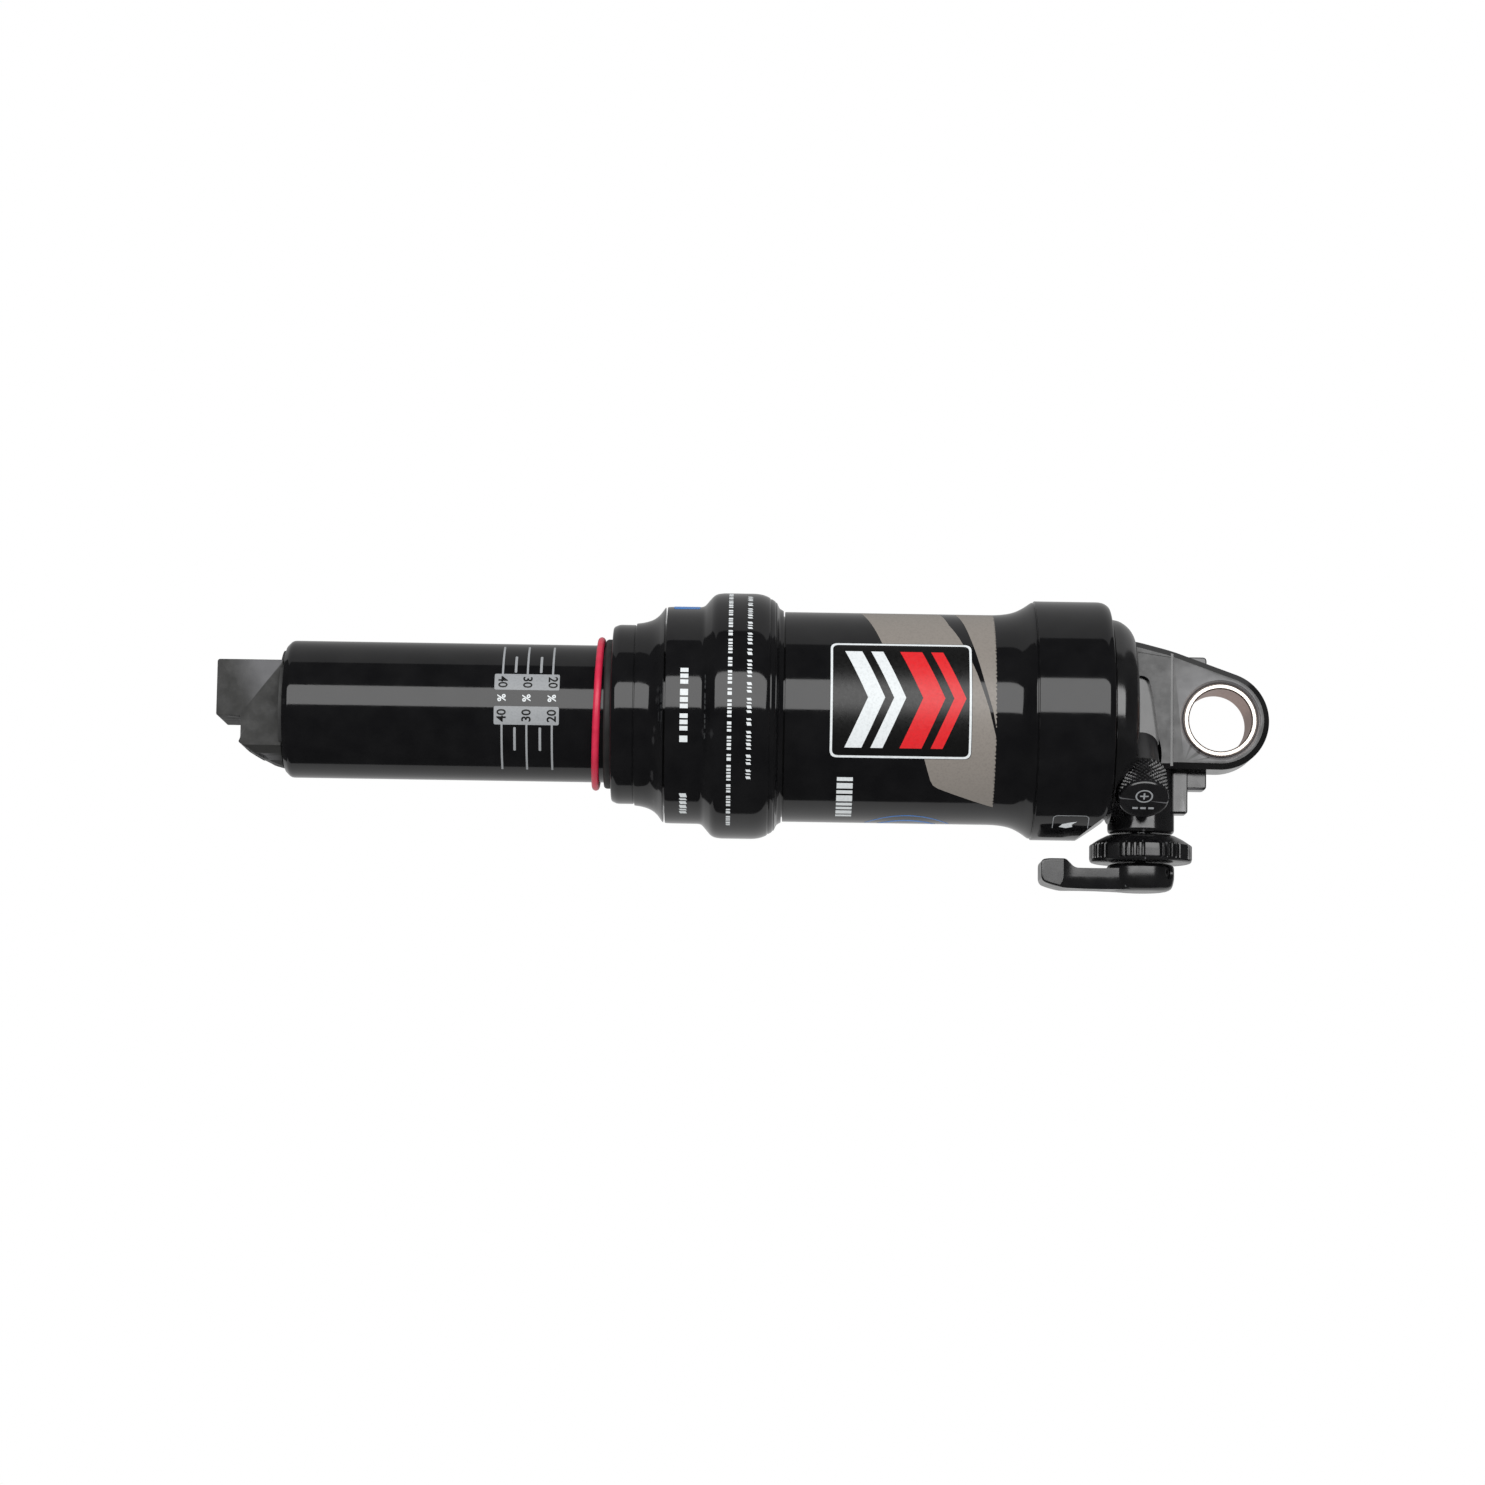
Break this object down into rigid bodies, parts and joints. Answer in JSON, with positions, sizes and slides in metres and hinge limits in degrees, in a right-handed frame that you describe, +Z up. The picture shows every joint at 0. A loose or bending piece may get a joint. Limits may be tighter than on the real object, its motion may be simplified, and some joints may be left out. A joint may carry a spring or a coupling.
{
  "type": "rear shock",
  "caption": "Bicycle rear air shock with a sliding damper tube, stepped air can, eyelet head, lockout lever, rebound knob and air valve.",
  "frame": {"origin": "centre of the eyelet's bore, in the middle of its width", "axes": "+X along the shaft towards the eyelet, +Y along the eyelet's bore, +Z up, with the adjusters underneath"},
  "size_m": [0.2134, 0.0676, 0.0597],
  "materials": {
    "gloss_black": "gloss black anodised",
    "satin_black": "satin black anodised",
    "black_alloy": "semi-gloss black anodised",
    "charcoal": "satin charcoal",
    "bush_metal": "satin bronze-backed bush",
    "red_rubber": "satin crimson rubber",
    "black_rubber": "matt black rubber",
    "hard_chrome": "polished hard chrome",
    "raw_alloy": "turned aluminium",
    "steel": "satin steel",
    "bronze": "bronze-filled bearing",
    "brass": "polished brass"
  },
  "bodies": {
    "head": {"head_body": "satin_black", "eyelet_bush": "bush_metal", "air_can": "gloss_black", "negative_sleeve": "gloss_black", "can_collar": "gloss_black", "wiper_seal": "black_rubber", "can_seal": "black_rubber", "guide_bush": "bronze", "sleeve_seal_left": "black_rubber", "sleeve_seal_right": "black_rubber", "top_out_bumper": "black_rubber", "bottom_out_bumper": "black_rubber", "can_head_seal": "black_rubber", "damper_shaft": "hard_chrome", "main_piston": "raw_alloy", "piston_band": "bronze", "rebound_shims": "steel", "compression_shims": "steel", "piston_nut": "steel", "air_valve_body": "satin_black", "air_valve_core": "brass", "sag_valve_body": "satin_black", "sag_valve_core": "brass", "detent_ball": "steel", "detent_spring": "steel"},
    "damper": {"damper_body": "gloss_black", "end_mount_block": "charcoal", "gas_fill_screw": "steel", "air_piston": "raw_alloy", "air_piston_seal": "black_rubber", "shaft_bush": "bronze", "shaft_seal": "black_rubber"},
    "gas_piston": {"floating_piston": "raw_alloy", "floating_piston_seal": "black_rubber"},
    "travel_ring": {"travel_o_ring": "red_rubber"},
    "rebound_dial": {"rebound_knob": "black_alloy", "rebound_spindle": "steel"},
    "rebound_push": {"rebound_tube": "steel"},
    "lockout_handle": {"lockout_lever": "black_alloy", "lever_screw": "steel", "lockout_spindle": "steel"},
    "lockout_push": {"lockout_rod": "steel"},
    "air_cap": {"air_valve_cap": "black_alloy"},
    "air_pin": {"air_valve_pin": "brass"},
    "sag_cap": {"sag_valve_cap": "black_alloy"},
    "sag_pin": {"sag_valve_pin": "brass"}
  },
  "joints": [
    {"name": "shock_stroke", "type": "slide", "parent": "head", "child": "damper", "axis": [1, 0, 0], "range_m": [0, 0.0508], "stiffness_N_per_m": 12000},
    {"name": "gas_piston_slide", "type": "slide", "parent": "damper", "child": "gas_piston", "axis": [-1, 0, 0], "range_m": [0, 0.0138]},
    {"name": "travel_ring_slide", "type": "slide", "parent": "damper", "child": "travel_ring", "axis": [-1, 0, 0], "range_m": [0, 0.0508]},
    {"name": "rebound_turn", "type": "hinge", "parent": "head", "child": "rebound_dial", "pos_m": [-0.0153, 0.0022, -0.026], "axis": [0, 0, 1], "range_deg": [0, 180]},
    {"name": "rebound_push_slide", "type": "slide", "parent": "head", "child": "rebound_push", "axis": [-1, 0, 0], "range_m": [0, 0.0008]},
    {"name": "lockout_turn", "type": "hinge", "parent": "head", "child": "lockout_handle", "pos_m": [-0.0153, 0.0022, -0.0315], "axis": [0, 0, 1], "range_deg": [0, 90]},
    {"name": "lockout_push_slide", "type": "slide", "parent": "head", "child": "lockout_push", "axis": [-1, 0, 0], "range_m": [0, 0.0005]},
    {"name": "air_cap_pull", "type": "slide", "parent": "head", "child": "air_cap", "axis": [0, -0.6428, -0.766], "range_m": [0, 0.006]},
    {"name": "air_pin_press", "type": "slide", "parent": "head", "child": "air_pin", "axis": [0, -0.6428, -0.766], "range_m": [-0.001, 0], "stiffness_N_per_m": 400},
    {"name": "sag_cap_pull", "type": "slide", "parent": "head", "child": "sag_cap", "axis": [0, 1, 0], "range_m": [0, 0.006]},
    {"name": "sag_pin_press", "type": "slide", "parent": "head", "child": "sag_pin", "axis": [0, 1, 0], "range_m": [-0.001, 0], "stiffness_N_per_m": 400}
  ],
  "couplings": [
    {"joint": "gas_piston_slide", "follows": "shock_stroke", "ratio": 0.271},
    {"joint": "travel_ring_slide", "follows": "shock_stroke", "ratio": 1},
    {"joint": "rebound_push_slide", "follows": "rebound_turn", "m_per_rad": 0.000254},
    {"joint": "lockout_push_slide", "follows": "lockout_turn", "m_per_rad": 0.000318}
  ]
}
